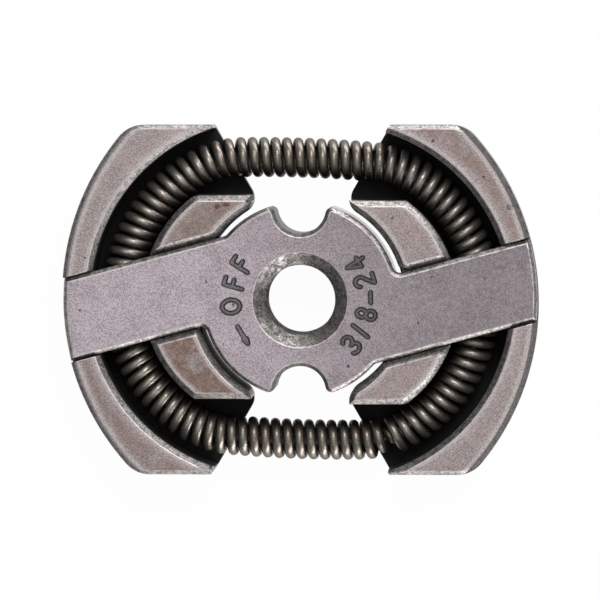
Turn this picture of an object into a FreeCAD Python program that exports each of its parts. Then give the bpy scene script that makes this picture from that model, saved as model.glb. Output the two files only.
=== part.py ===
import FreeCAD, Part
import math
import os

# Two-shoe centrifugal clutch of a chainsaw.
# The hub axis is Z and the marked front face looks up. X runs from shoe to shoe.

# Driving dimensions in millimetres, angles in degrees: alias, value, what it is
SIZES = [
    ("height", 12.0, "thickness of hub and shoes"),
    ("hub_radius", 12.0, "outer radius of the hub"),
    ("bore_radius", 4.24, "crest radius of the crank thread"),
    ("bore_mouth_radius", 5.8, "outer radius of the bore's front countersink"),
    ("bore_back_radius", 5.0, "outer radius of the bore's back countersink"),
    ("notch_radius", 3.15, "radius of a spanner notch"),
    ("notch_distance", 11.25, "hub axis to the centre of a notch"),
    ("notch_corner", 0.8, "round where a notch meets the hub's rim"),
    ("arm_angle", 15.0, "turn of the arms from the X axis"),
    ("arm_width", 9.9, "width of an arm, all on one side of the axis line"),
    ("arm_thickness", 3.5, "thickness of an arm, flush with the front face"),
    ("arm_end_inset", 0.1, "arm ends inside the friction faces at rest"),
    ("arm_root_fillet", 0.8, "round in the corners between hub and arms"),
    ("spider_chamfer", 0.45, "bevel round the spider's front face"),
    ("back_chamfer", 0.35, "bevel round the back faces"),
    ("shoe_travel", 1.7, "slide along the arm that brings the friction face on centre with the hub"),
    ("shoe_half_width", 21.4, "hub axis to a shoe's flat side"),
    ("shoe_corner", 3.9, "round between friction face and flat side"),
    ("end_angle", 30.0, "lean of a shoe's end faces from the Y axis"),
    ("end_apex", 1.45, "where the end faces would meet, past the hub axis"),
    ("end_corner", 2.0, "round between an end face and the hub side"),
    ("hub_clearance", 0.7, "hub to the shoe's inner side at rest"),
    ("pad_depth", 6.6, "pads at their middle, between hub side and channel"),
    ("channel_shift", 3.9, "centre of the spring channel from the hub axis, along X"),
    ("channel_lift", 0.3, "centre of the spring channel off the X axis"),
    ("friction_wall", 3.51, "friction wall at its middle, between friction face and channel"),
    ("broad_pad_inset", 3.25, "broad pad's end inside the channel's inner radius"),
    ("narrow_pad_inset", 2.6, "narrow pad's end inside the channel's inner radius"),
    ("slot_clearance", 0.15, "arm to slot, on each side and below"),
    ("pad_corner", 1.0, "round of a pad where slot and hub side meet"),
    ("narrow_pad_corner", 1.8, "round of the narrow pad where its end meets the channel"),
    ("wall_chamfer", 0.45, "bevel outside the friction wall"),
    ("channel_chamfer", 0.65, "bevel of the friction wall towards the channel"),
    ("pad_chamfer", 0.7, "bevel round a pad's front face"),
    ("coil_diameter", 5.0, "outside diameter of the spring"),
    ("wire_diameter", 1.1, "diameter of the spring wire"),
    ("coil_pitch", 1.4, "pitch of the spring's turns along its ring"),
    ("spring_outer_gap", 1.05, "spring to the channel's outer wall"),
    ("spring_inner_gap", 0.3, "spring to the channel's inner wall, which it leans on"),
    ("spring_top_gap", 0.2, "spring to the arms above it"),
    ("spring_floor_gap", 0.2, "spring to the channel's floor"),
    ("spring_wrap", 55.0, "half angle over which the spring follows the channel"),
    ("span_inset", 0.89, "free spans nearer to the X axis than the spring's radius in the channel"),
    ("span_radius", 160.0, "radius of the slightly arched free spans"),
    ("spring_tilt", 2.0, "lean of the ring, from pulling on the tilted shoes"),
    ("join_angle", 301.0, "direction of the spring's join from the hub axis"),
    ("join_gap", 0.7, "extra room between the two end turns"),
    ("nib_turns", 2.5, "turns of the thin end that screws into the other end"),
    ("nib_radius", 0.66, "centre radius of those turns"),
]

# Facets of the spring wire, where its first turn starts counted from the outer side, turns over which it
# narrows to the thin end, and steps of the search for its join
STATIONS_PER_TURN = 7
WIRE_SIDES = 6
START_TURN = 0.25
NIB_TAPER_TURNS = 0.5
ROUTE_STEPS = 2000

# Cutting tools run this far past the faces that they open
OVERSHOOT = 1.0
POINT_TOLERANCE = 0.02

# A cylinder is turned so that its seam falls where the outline is cut away
SEAM_AT_NOTCH = "90"
SEAM_BEHIND = "180"

# Lengths that follow from the driving ones, from the hub outwards; the friction radius is the drum's
CHANNEL_INNER = "(sizes.hub_radius + sizes.hub_clearance + sizes.pad_depth - sizes.channel_shift)"
CHANNEL_OUTER = f"({CHANNEL_INNER} + sizes.spring_inner_gap + sizes.coil_diameter + sizes.spring_outer_gap)"
FRICTION_RADIUS = (f"({CHANNEL_OUTER} + sizes.channel_shift + sizes.friction_wall"
                   " + sizes.shoe_travel * cos(sizes.arm_angle))")
ARM_REACH = f"({FRICTION_RADIUS} - sizes.shoe_travel - sizes.arm_end_inset)"
CHANNEL_FLOOR = ("(sizes.height - sizes.arm_thickness - sizes.coil_diameter"
                 " - sizes.spring_top_gap - sizes.spring_floor_gap)")

doc = FreeCAD.newDocument("chainsaw_clutch")
sheet = doc.addObject("Spreadsheet::Sheet", "sizes")


def fill_sheet():
    """Write the driving dimensions to the sheet, one aliased cell each."""
    for row, (alias, value, meaning) in enumerate(SIZES, start=1):
        sheet.set(f"A{row}", meaning)
        sheet.set(f"B{row}", str(value))
        sheet.setAlias(f"B{row}", alias)
    doc.recompute()


def size(alias):
    """Read one driving dimension back from the sheet."""
    return float(sheet.get(alias))


def solid(kind, name, turned=False, x="0", y="0", z="0", angle="0", **lengths):
    """Add a primitive bound to the sheet; turned moves it half round the hub axis."""
    obj = doc.addObject("Part::" + kind, name)
    for prop, expression in lengths.items():
        obj.setExpression(prop, expression)
    sign = "-1" if turned else "1"
    half_turn = "180" if turned else "0"
    obj.setExpression(".Placement.Base.x", f"{sign} * ({x})")
    obj.setExpression(".Placement.Base.y", f"{sign} * ({y})")
    obj.setExpression(".Placement.Base.z", z)
    obj.setExpression(".Placement.Rotation.Angle", f"{angle} + {half_turn}")
    return obj


def cut(name, base, *tools):
    """Take the tools from the base."""
    for number, tool in enumerate(tools, start=1):
        step = doc.addObject("Part::Cut", f"{name}_cut_{number}")
        step.Base = base
        step.Tool = tool
        base = step
    doc.recompute()
    return base


def common(name, base, tool):
    """Keep what two solids share."""
    obj = doc.addObject("Part::Common", name)
    obj.Base = base
    obj.Tool = tool
    return obj


def fuse(name, *pieces):
    """Join solids into one."""
    obj = doc.addObject("Part::MultiFuse", name)
    obj.Shapes = list(pieces)
    obj.Refine = True
    doc.recompute()
    return obj


def edges_where(shape, test):
    """Names of the edges that pass the test, which gets the edge and its middle point."""
    names = []
    for number, edge in enumerate(shape.Edges, start=1):
        middle = edge.valueAt((edge.FirstParameter + edge.LastParameter) / 2)
        if test(edge, middle):
            names.append(f"Edge{number}")
    return names


def is_upright(edge):
    """True for a straight edge along Z."""
    if not isinstance(edge.Curve, Part.Line):
        return False
    return abs(abs(edge.Curve.Direction.z) - 1) < POINT_TOLERANCE


def lies_level(edge, level):
    """True for an edge all of whose ends are at one height."""
    return all(abs(vertex.Point.z - level) < POINT_TOLERANCE for vertex in edge.Vertexes)


def body_from(name, base):
    """Start a body on a finished boolean."""
    body = doc.addObject("PartDesign::Body", name)
    body.BaseFeature = base
    doc.recompute()
    return body


def dress(body, kind, name, amount, test):
    """Add a fillet or chamfer on the body's edges that pass the test."""
    base = body.Tip
    names = edges_where(base.Shape, test)
    if not names:
        raise RuntimeError(f"{name}: no edge found")
    feature = body.newObject("PartDesign::" + kind, name)
    feature.Base = (base, names)
    feature.setExpression("Radius" if kind == "Fillet" else "Size", "sizes." + amount)
    doc.recompute()
    if feature.Shape.isNull():
        raise RuntimeError(f"{name}: not made on {names}")
    return feature


def arm_strip(name, turned, margin, bottom, top):
    """A straight strip along an arm, wider than the arm by a margin on each side."""
    low = f"(sizes.arm_width + {margin})"
    return solid(
        "Box", name, turned,
        x=f"{low} * sin(sizes.arm_angle)",
        y=f"-{low} * cos(sizes.arm_angle)",
        z=bottom,
        angle="sizes.arm_angle",
        Length=f"2 * {FRICTION_RADIUS}",
        Width=f"sizes.arm_width + 2 * {margin}",
        Height=f"{top} - ({bottom})",
    )


def make_spider():
    """Hub and two offset arms in one piece, with bore and spanner notches."""
    hub = solid("Cylinder", "hub", angle=SEAM_AT_NOTCH, Radius="sizes.hub_radius", Height="sizes.height")
    arm_bottom = "sizes.height - sizes.arm_thickness"
    strips = [arm_strip(f"arm_{number}", number == 2, "0", arm_bottom, "sizes.height") for number in (1, 2)]
    reach = solid("Cylinder", "arm_reach_disc", angle=SEAM_AT_NOTCH, Radius=ARM_REACH,
                  Height="sizes.height")
    arms = common("arms", fuse("arm_pair", *strips), reach)
    star = fuse("spider_blank", hub, arms)
    bore = solid("Cylinder", "bore", z=f"-{OVERSHOOT}", Radius="sizes.bore_radius",
                 Height=f"sizes.height + 2 * {OVERSHOOT}")
    mouth_depth = "(sizes.bore_mouth_radius - sizes.bore_radius)"
    mouth = solid("Cone", "bore_mouth", z=f"sizes.height - {mouth_depth}", Radius1="sizes.bore_radius",
                  Radius2="sizes.bore_mouth_radius", Height=mouth_depth)
    back = solid("Cone", "bore_back", Radius1="sizes.bore_back_radius", Radius2="sizes.bore_radius",
                 Height="sizes.bore_back_radius - sizes.bore_radius")
    notches = [
        solid("Cylinder", f"notch_{number}", number == 2, y="sizes.notch_distance", z=f"-{OVERSHOOT}",
              angle=SEAM_AT_NOTCH, Radius="sizes.notch_radius", Height=f"sizes.height + 2 * {OVERSHOOT}")
        for number in (1, 2)
    ]
    blank = cut("spider", star, bore, mouth, back, *notches)
    body = body_from("spider", blank)
    front = size("height")
    rim = size("hub_radius")
    arm_low = front - size("arm_thickness")

    def arm_root(edge, middle):
        short = edge.Length < size("arm_thickness") + POINT_TOLERANCE
        on_rim = abs(math.hypot(middle.x, middle.y) - rim) < POINT_TOLERANCE
        return is_upright(edge) and short and on_rim and middle.z > arm_low

    def notch_lip(edge, middle):
        on_rim = abs(math.hypot(middle.x, middle.y) - rim) < POINT_TOLERANCE
        return is_upright(edge) and on_rim and abs(middle.x) < size("notch_radius") + POINT_TOLERANCE

    def front_rim(edge, middle):
        outside = math.hypot(middle.x, middle.y) > size("bore_mouth_radius") + OVERSHOOT
        return lies_level(edge, front) and outside

    def back_rim(edge, middle):
        outside = math.hypot(middle.x, middle.y) > size("bore_back_radius") + OVERSHOOT
        return lies_level(edge, 0) and outside

    dress(body, "Fillet", "arm_root_round", "arm_root_fillet", arm_root)
    dress(body, "Fillet", "notch_lip_round", "notch_corner", notch_lip)
    dress(body, "Chamfer", "spider_front_bevel", "spider_chamfer", front_rim)
    dress(body, "Chamfer", "spider_back_bevel", "back_chamfer", back_rim)
    return body


def shoe_blank(name, turned):
    """Outline of a shoe at full thickness: friction face, flat sides, leaning ends and hub side."""
    disc = solid("Cylinder", f"{name}_friction_disc", turned,
                 x="-sizes.shoe_travel * cos(sizes.arm_angle)",
                 y="-sizes.shoe_travel * sin(sizes.arm_angle)",
                 angle=SEAM_BEHIND, Radius=FRICTION_RADIUS, Height="sizes.height")
    slab = solid("Box", f"{name}_slab", turned, y="-sizes.shoe_half_width", Length=FRICTION_RADIUS,
                 Width="2 * sizes.shoe_half_width", Height="sizes.height")
    outline = common(f"{name}_outline", disc, slab)
    reach = f"2 * {FRICTION_RADIUS}"
    upper = solid("Box", f"{name}_upper_end", turned, x="-sizes.end_apex", z=f"-{OVERSHOOT}",
                  angle="90 - sizes.end_angle", Length=reach, Width=reach,
                  Height=f"sizes.height + 2 * {OVERSHOOT}")
    lower = solid("Box", f"{name}_lower_end", turned,
                  x=f"-sizes.end_apex - {reach} * cos(sizes.end_angle)",
                  y=f"-{reach} * sin(sizes.end_angle)",
                  z=f"-{OVERSHOOT}", angle="sizes.end_angle - 90", Length=reach, Width=reach,
                  Height=f"sizes.height + 2 * {OVERSHOOT}")
    hub_room = solid("Cylinder", f"{name}_hub_room", turned, z=f"-{OVERSHOOT}",
                     angle=SEAM_BEHIND, Radius="sizes.hub_radius + sizes.hub_clearance",
                     Height=f"sizes.height + 2 * {OVERSHOOT}")
    blank = cut(f"{name}_blank", outline, upper, lower, hub_room)
    body = body_from(f"{name}_blank_body", blank)
    side = size("shoe_half_width")
    inner = size("hub_radius") + size("hub_clearance")

    def outer_corner(edge, middle):
        far = math.hypot(middle.x, middle.y) > side + size("shoe_corner")
        return is_upright(edge) and abs(abs(middle.y) - side) < POINT_TOLERANCE and far

    def inner_corner(edge, middle):
        return is_upright(edge) and abs(math.hypot(middle.x, middle.y) - inner) < POINT_TOLERANCE

    def outer_rim(edge, middle):
        on_side = abs(abs(middle.y) - side) < POINT_TOLERANCE
        curved = not isinstance(edge.Curve, Part.Line) and math.hypot(middle.x, middle.y) > side
        return lies_level(edge, size("height")) and (on_side or curved)

    dress(body, "Fillet", f"{name}_outer_round", "shoe_corner", outer_corner)
    dress(body, "Fillet", f"{name}_inner_round", "end_corner", inner_corner)
    dress(body, "Chamfer", f"{name}_outer_bevel", "wall_chamfer", outer_rim)
    return body


def make_shoe(name, turned):
    """A shoe on the +X side, or turned half round the hub axis for the other side."""
    blank = shoe_blank(name, turned)
    depth = f"sizes.height - {CHANNEL_FLOOR} + {OVERSHOOT}"
    channel_disc = solid("Cylinder", f"{name}_channel_disc", turned, x="sizes.channel_shift",
                         y="-sizes.channel_lift", z=CHANNEL_FLOOR, angle=SEAM_BEHIND,
                         Radius=CHANNEL_OUTER, Height=depth)
    pad_disc = solid("Cylinder", f"{name}_pad_disc", turned, x="sizes.channel_shift",
                     y="-sizes.channel_lift", z=CHANNEL_FLOOR, angle=SEAM_BEHIND,
                     Radius=CHANNEL_INNER, Height=depth)
    pad_band = solid("Box", f"{name}_pad_band", turned, x=f"-{CHANNEL_INNER}",
                     y=f"sizes.narrow_pad_inset - {CHANNEL_INNER}", z=CHANNEL_FLOOR,
                     Length=f"2 * {FRICTION_RADIUS}",
                     Width=f"2 * {CHANNEL_INNER} - sizes.narrow_pad_inset - sizes.broad_pad_inset",
                     Height=depth)
    pads = common(f"{name}_pads", pad_disc, pad_band)
    channel = cut(f"{name}_channel", channel_disc, pads)
    mouth_height = f"(sizes.channel_chamfer + {OVERSHOOT})"
    mouth = solid("Cone", f"{name}_channel_mouth", turned, x="sizes.channel_shift",
                  y="-sizes.channel_lift", z="sizes.height - sizes.channel_chamfer", angle=SEAM_BEHIND,
                  Radius1=CHANNEL_OUTER, Radius2=f"{CHANNEL_OUTER} + {mouth_height}", Height=mouth_height)
    mouth_ring = cut(f"{name}_mouth_ring", mouth, channel_disc)
    slot = arm_strip(f"{name}_slot", turned, "sizes.slot_clearance",
                     "sizes.height - sizes.arm_thickness - sizes.slot_clearance",
                     f"sizes.height + {OVERSHOOT}")
    body = body_from(name, cut(f"{name}_slotted", blank, channel, mouth_ring, slot))
    front = size("height")
    sign = -1 if turned else 1
    centre = FreeCAD.Vector(sign * size("channel_shift"), -sign * size("channel_lift"), 0)
    inner = size("hub_radius") + size("hub_clearance")
    pad_radius = pad_disc.Radius.Value
    narrow_end = abs(pad_band.Placement.Base.y)
    turn = math.radians(size("arm_angle"))

    def channel_distance(point):
        return math.hypot(point.x - centre.x, point.y - centre.y)

    def beside_arm(point):
        offset = sign * (point.y * math.cos(turn) - point.x * math.sin(turn))
        over = offset - size("slot_clearance")
        under = offset + size("arm_width") + size("slot_clearance")
        return abs(over) < POINT_TOLERANCE or abs(under) < POINT_TOLERANCE

    def on_pad(point):
        return channel_distance(point) < pad_radius + POINT_TOLERANCE

    def pad_corner(edge, middle):
        near_hub = abs(math.hypot(middle.x, middle.y) - inner) < POINT_TOLERANCE
        return is_upright(edge) and near_hub and beside_arm(middle)

    def pad_end(edge, middle):
        at_end = abs(sign * middle.y + narrow_end) < POINT_TOLERANCE
        by_channel = abs(channel_distance(middle) - pad_radius) < POINT_TOLERANCE
        return is_upright(edge) and at_end and by_channel

    def pad_rim(edge, middle):
        return lies_level(edge, front) and on_pad(middle)

    dress(body, "Fillet", f"{name}_pad_round", "pad_corner", pad_corner)
    dress(body, "Fillet", f"{name}_pad_end_round", "narrow_pad_corner", pad_end)
    dress(body, "Chamfer", f"{name}_pad_bevel", "pad_chamfer", pad_rim)
    dress(body, "Chamfer", f"{name}_back_bevel", "back_chamfer", lambda edge, middle: lies_level(edge, 0))
    return body


def spring_route(channel):
    """Arcs of the spring's closed centre line: centre, radius, start angle and sweep, counter-clockwise."""
    shift = size("channel_shift")
    wrap_radius = channel.Radius.Value - size("spring_outer_gap") - size("coil_diameter") / 2
    wrap = math.radians(size("spring_wrap"))
    span_radius = size("span_radius")
    drop = span_radius - wrap_radius + size("span_inset")
    # The corner arc touches the wrap arc and the span arc from inside, which gives its radius
    spread = span_radius - wrap_radius
    inset = (shift ** 2 + drop ** 2 - spread ** 2) / (
        2 * (spread - shift * math.cos(wrap) - drop * math.sin(wrap)))
    corner_radius = wrap_radius - inset
    corner_x = shift + inset * math.cos(wrap)
    corner_y = inset * math.sin(wrap)
    span_start = math.atan2(corner_y + drop, corner_x)
    arcs = []
    for side in (0, 1):
        sign = 1 - 2 * side
        turn = side * math.pi
        arcs.append((sign * shift, 0.0, wrap_radius, turn - wrap, 2 * wrap))
        arcs.append((sign * corner_x, sign * corner_y, corner_radius, turn + wrap, span_start - wrap))
        arcs.append((0.0, -sign * drop, span_radius, turn + span_start, math.pi - 2 * span_start))
        arcs.append((-sign * corner_x, sign * corner_y, corner_radius, turn + math.pi - span_start,
                     span_start - wrap))
    tilt = -math.radians(size("spring_tilt"))
    tilted = []
    for x, y, radius, start, sweep in arcs:
        tilted_x = x * math.cos(tilt) - y * math.sin(tilt)
        tilted_y = x * math.sin(tilt) + y * math.cos(tilt)
        tilted.append((tilted_x, tilted_y, radius, start + tilt, sweep))
    return tilted


def point_on_route(arcs, distance):
    """Point and outward direction of the centre line at a distance along it."""
    total = sum(radius * sweep for _, _, radius, _, sweep in arcs)
    rest = distance % total
    for x, y, radius, start, sweep in arcs:
        if rest <= radius * sweep:
            angle = start + rest / radius
            outward = FreeCAD.Vector(math.cos(angle), math.sin(angle), 0)
            return FreeCAD.Vector(x, y, 0) + outward * radius, outward
        rest -= radius * sweep
    raise RuntimeError("distance is off the route")


def distance_at_angle(arcs, total, target):
    """Distance along the centre line at which it passes a direction from the hub axis."""

    def misfit(step):
        point, _ = point_on_route(arcs, total * step / ROUTE_STEPS)
        return abs((math.atan2(point.y, point.x) - target + math.pi) % (2 * math.pi) - math.pi)

    return total * min(range(ROUTE_STEPS), key=misfit) / ROUTE_STEPS


def make_spring():
    """One coiled wire round the whole route; its thin end turns sit inside the first turns."""
    channel = doc.getObject("right_shoe_channel_disc")
    arcs = spring_route(channel)
    level = channel.Placement.Base.z + size("spring_floor_gap") + size("coil_diameter") / 2
    total = sum(radius * sweep for _, _, radius, _, sweep in arcs)
    begin = distance_at_angle(arcs, total, math.radians(size("join_angle"))) + size("join_gap")
    coil_length = total - size("join_gap")
    turns = round(coil_length / size("coil_pitch"))
    pitch = coil_length / turns
    coil_radius = (size("coil_diameter") - size("wire_diameter")) / 2
    wire_radius = size("wire_diameter") / 2
    stations = int((turns + size("nib_turns")) * STATIONS_PER_TURN)

    def wire_centre(station):
        turn = station / STATIONS_PER_TURN
        point, outward = point_on_route(arcs, begin + turn * pitch)
        thin = min(max((turn - turns) / NIB_TAPER_TURNS + 1, 0), 1)
        radius = coil_radius + (size("nib_radius") - coil_radius) * thin
        # The wire goes down on the outside and comes up on the inside, which winds the coil right-handed
        angle = 2 * math.pi * (turn + START_TURN)
        spoke = outward * math.cos(angle) - FreeCAD.Vector(0, 0, math.sin(angle))
        return point + FreeCAD.Vector(0, 0, level) + spoke * radius

    centres = [wire_centre(station) for station in range(stations + 1)]
    runs = [(after - before).normalize() for before, after in zip(centres, centres[1:])]
    side = runs[0].cross(FreeCAD.Vector(0, 0, 1)).normalize()
    lift = side.cross(runs[0])
    ring = []
    for number in range(WIRE_SIDES):
        angle = 2 * math.pi * number / WIRE_SIDES
        spoke = side * math.cos(angle) + lift * math.sin(angle)
        ring.append(centres[0] + spoke * wire_radius)
    rings = [ring]
    # Each straight run of wire is a prism that meets the next one at a mitre, so every facet is flat
    for number, run in enumerate(runs):
        ahead = runs[min(number + 1, len(runs) - 1)]
        mitre = run + ahead
        ring = [point + run * ((centres[number + 1] - point).dot(mitre) / run.dot(mitre)) for point in ring]
        rings.append(ring)
    facets = [Part.Face(Part.makePolygon(cap + cap[:1])) for cap in (rings[0], rings[-1])]
    for near, far in zip(rings, rings[1:]):
        for corner in range(WIRE_SIDES):
            beside = (corner + 1) % WIRE_SIDES
            quad = [near[corner], near[beside], far[beside], far[corner], near[corner]]
            facets.append(Part.Face(Part.makePolygon(quad)))
    shell = Part.makeShell(facets)
    shell.sewShape()
    feature = doc.addObject("Part::Feature", "garter_spring")
    feature.Shape = Part.makeSolid(Part.Shell(shell.Faces))
    feature.Placement = FreeCAD.Placement()
    print(f"spring: {turns} turns, pitch {pitch:.3f}, route {total:.2f} long")
    return feature


def check(parts):
    """Stop if any object failed or a part has no valid solid."""
    doc.recompute()
    for obj in doc.Objects:
        if "Invalid" in obj.State or "Error" in obj.State:
            raise RuntimeError(f"{obj.Name} failed: {obj.State}")
    for part in parts:
        if part.Shape.isNull() or not part.Shape.isValid() or len(part.Shape.Solids) != 1:
            raise RuntimeError(f"{part.Label} is not one valid solid")
        box = part.Shape.optimalBoundingBox()
        sides = f"{box.XLength:.2f} x {box.YLength:.2f} x {box.ZLength:.2f}"
        print(f"{part.Label}: {part.Shape.Volume:.1f} mm3, {sides} mm")


fill_sheet()
parts = [make_spider(), make_shoe("left_shoe", True), make_shoe("right_shoe", False), make_spring()]
check(parts)
os.makedirs("parts", exist_ok=True)
for part in parts:
    part.Shape.exportStep(f"parts/{part.Label}.step")
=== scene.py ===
# %% [markdown]
# # A two-shoe chainsaw clutch
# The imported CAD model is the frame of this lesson: a hub with two arms, two sliding shoes and a coil spring
# closed to a ring. The frame holds every size and joint, so the scene adds only what a CAD model lacks:
# broken edges, stamped marks, a thread, round wire and the finish of each surface.

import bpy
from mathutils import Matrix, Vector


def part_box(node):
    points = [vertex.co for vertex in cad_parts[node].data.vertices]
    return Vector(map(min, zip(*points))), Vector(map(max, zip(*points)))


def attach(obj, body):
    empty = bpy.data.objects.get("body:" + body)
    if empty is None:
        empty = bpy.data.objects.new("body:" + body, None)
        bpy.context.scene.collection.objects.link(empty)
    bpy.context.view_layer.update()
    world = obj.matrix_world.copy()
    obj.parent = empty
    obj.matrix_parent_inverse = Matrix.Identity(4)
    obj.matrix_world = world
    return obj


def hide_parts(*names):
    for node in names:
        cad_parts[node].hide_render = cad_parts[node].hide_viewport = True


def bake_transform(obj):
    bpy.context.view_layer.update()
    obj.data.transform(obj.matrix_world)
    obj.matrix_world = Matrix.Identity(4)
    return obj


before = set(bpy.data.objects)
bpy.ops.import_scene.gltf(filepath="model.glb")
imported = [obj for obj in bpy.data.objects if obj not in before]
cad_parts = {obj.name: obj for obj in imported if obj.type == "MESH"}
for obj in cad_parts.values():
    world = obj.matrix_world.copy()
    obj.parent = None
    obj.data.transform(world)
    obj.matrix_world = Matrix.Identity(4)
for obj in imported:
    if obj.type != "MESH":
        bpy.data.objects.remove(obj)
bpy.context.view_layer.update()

# %% [markdown]
# The photograph looks almost straight down on the marked front face, from far away. A long lens keeps the
# sides from spreading. The camera leans a little to the right and up, which shows a sliver of the walls
# that face those ways. Its axes are written out, because a camera that looks down has no natural up.

# %% Camera
import itertools
import math

import bmesh
import bpy
from mathutils import Matrix, Vector

MM = 0.001
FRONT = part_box("spider")[1].z
VIEW_FIELD = 73.2 * MM
VIEW_DISTANCE = 0.8
VIEW_LEAN = Vector((0.036, 0.032, 1.0))
SENSOR_WIDTH = 36.0


def add_object(name, data):
    """Puts new data into the scene as an object."""
    made = bpy.data.objects.new(name, data)
    bpy.context.scene.collection.objects.link(made)
    return made


def facing(back, up):
    """Rotation whose Z axis is back and whose Y axis is as near to up as it can be."""
    axis_z = back.normalized()
    axis_x = up.cross(axis_z).normalized()
    axis_y = axis_z.cross(axis_x)
    return Matrix((axis_x, axis_y, axis_z)).transposed().to_4x4()


camera = add_object("camera", bpy.data.cameras.new("camera"))
camera.data.sensor_width = SENSOR_WIDTH
camera.data.lens = SENSOR_WIDTH * VIEW_DISTANCE / VIEW_FIELD
camera.matrix_world = (
    Matrix.Translation(Vector((0, 0, FRONT)) + VIEW_LEAN * VIEW_DISTANCE)
    @ facing(VIEW_LEAN, Vector((0, 1, 0)))
)
bpy.context.scene.camera = camera
bpy.context.scene.view_settings.view_transform = "Standard"
print("camera", tuple(camera.location), "lens", camera.data.lens)

# %% [markdown]
# Shader maths reads best as Python. This small class wraps a socket: an operator on it adds a Math node,
# colours go through a Mix node, and every other node comes from one method that takes the node's type,
# its settings and its sockets. Adding nodes one by one would need four lines for each.

# %% Shader expressions
MIX_A = 6
MIX_B = 7
MIX_RESULT = 2


class Wire:
    """A socket of a node tree; Python arithmetic on it adds Math nodes."""

    def __init__(self, tree, socket):
        self.tree = tree
        self.socket = socket

    def node(self, kind, settings=None, sockets=None, out=0):
        """Adds a node: settings first, then the values or links of its sockets."""
        made = self.tree.nodes.new(kind)
        for name, value in (settings or {}).items():
            setattr(made, name, value)
        for name, value in (sockets or {}).items():
            if isinstance(value, Wire):
                self.tree.links.new(value.socket, made.inputs[name])
            else:
                made.inputs[name].default_value = value
        return Wire(self.tree, made.outputs[out])

    def beside(self, name):
        """Another output of the same node."""
        return Wire(self.tree, self.socket.node.outputs[name])

    def math(self, operation, first, second):
        """A Math node with two inputs."""
        return self.node("ShaderNodeMath", {"operation": operation}, {0: first, 1: second})

    def __add__(self, other):
        return self.math("ADD", self, other)

    def __sub__(self, other):
        return self.math("SUBTRACT", self, other)

    def __rsub__(self, other):
        return self.math("SUBTRACT", other, self)

    def __mul__(self, other):
        return self.math("MULTIPLY", self, other)

    def __pow__(self, other):
        return self.math("POWER", self, other)

    def __abs__(self):
        return self.math("ABSOLUTE", self, 0.0)

    __radd__ = __add__
    __rmul__ = __mul__

    def rise(self, low, high):
        """0 up to low, 1 from high on and smooth between; with low above high it falls instead."""
        settings = {"interpolation_type": "SMOOTHSTEP"}
        sockets = {"Value": self, "From Min": low, "From Max": high}
        return self.node("ShaderNodeMapRange", settings, sockets)

    def mix(self, first, second):
        """Colour between two others, by this value."""
        sockets = {0: self, MIX_A: first, MIX_B: second}
        return self.node("ShaderNodeMix", {"data_type": "RGBA"}, sockets, out=MIX_RESULT)

    def noise(self, scale, detail=2.0, roughness=0.5):
        """Noise over this vector, around 0.5."""
        sockets = {"Vector": self, "Scale": scale, "Detail": detail, "Roughness": roughness}
        return self.node("ShaderNodeTexNoise", None, sockets)

    def cells(self, scale):
        """Distance to the nearest of many scattered points."""
        return self.node("ShaderNodeTexVoronoi", None, {"Vector": self, "Scale": scale})

    def vector(self, operation, other=(0, 0, 0), out=0):
        """Vector Math with this vector and another; lengths come out as Value."""
        return self.node("ShaderNodeVectorMath", {"operation": operation}, {0: self, 1: other}, out=out)

    def part(self, axis):
        """X, Y or Z of this vector."""
        return self.node("ShaderNodeSeparateXYZ", None, {"Vector": self}, out=axis)


def srgb(red, green, blue):
    """A colour as screens write it, from 0 to 255, as the linear colour that shaders take."""
    linear = []
    for level in (red, green, blue):
        share = level / 255
        linear.append(share / 12.92 if share <= 0.04045 else ((share + 0.055) / 1.055) ** 2.4)
    return (*linear, 1.0)


print("grey 128 in linear light is", srgb(128, 128, 128)[0])

# %% [markdown]
# The clutch lies on a white table and throws a soft shadow. A plane with a white Diffuse shader would do,
# but it comes out grey where the lamps are weak. This floor is white to the camera and in reflections,
# which the Light Path node tells apart, and takes a small share of real light, so the shadow stays.

# %% Floor and world
FLOOR_REACH = 2.0
FLOOR_DROP = 0.02 * MM
FLOOR_WHITE = 0.97
FLOOR_LIT = srgb(244, 244, 244)
FLOOR_GLOW = srgb(255, 255, 255)
WORLD_COLOUR = srgb(235, 236, 240)
WORLD_STRENGTH = 0.25


def make_floor():
    """The white floor under the clutch."""
    corners = [(-1, -1), (1, -1), (1, 1), (-1, 1)]
    mesh = bpy.data.meshes.new("floor")
    mesh.from_pydata([(x * FLOOR_REACH, y * FLOOR_REACH, -FLOOR_DROP) for x, y in corners], [], [range(4)])
    floor = add_object("floor", mesh)
    paint = bpy.data.materials.new("white_floor")
    paint.use_nodes = True
    tree = paint.node_tree
    tree.nodes.clear()
    output = tree.nodes.new("ShaderNodeOutputMaterial")
    seen = Wire(tree, tree.nodes.new("ShaderNodeLightPath").outputs["Is Camera Ray"])
    mirrored = seen.beside("Is Glossy Ray") + seen.beside("Is Transmission Ray")
    lit = seen.node("ShaderNodeBsdfDiffuse", None, {"Color": FLOOR_LIT})
    glow = seen.node("ShaderNodeEmission", None, {"Color": FLOOR_GLOW, "Strength": 1.0})
    share = (seen + mirrored) * FLOOR_WHITE
    blend = seen.node("ShaderNodeMixShader", None, {0: share, 1: lit, 2: glow})
    tree.links.new(blend.socket, output.inputs["Surface"])
    mesh.materials.append(paint)


make_floor()
world = bpy.data.worlds.new("studio")
world.use_nodes = True
background = world.node_tree.nodes["Background"]
background.inputs["Color"].default_value = WORLD_COLOUR
background.inputs["Strength"].default_value = WORLD_STRENGTH
bpy.context.scene.world = world
print("floor", 2 * FLOOR_REACH, "m wide, world strength", WORLD_STRENGTH)

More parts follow.
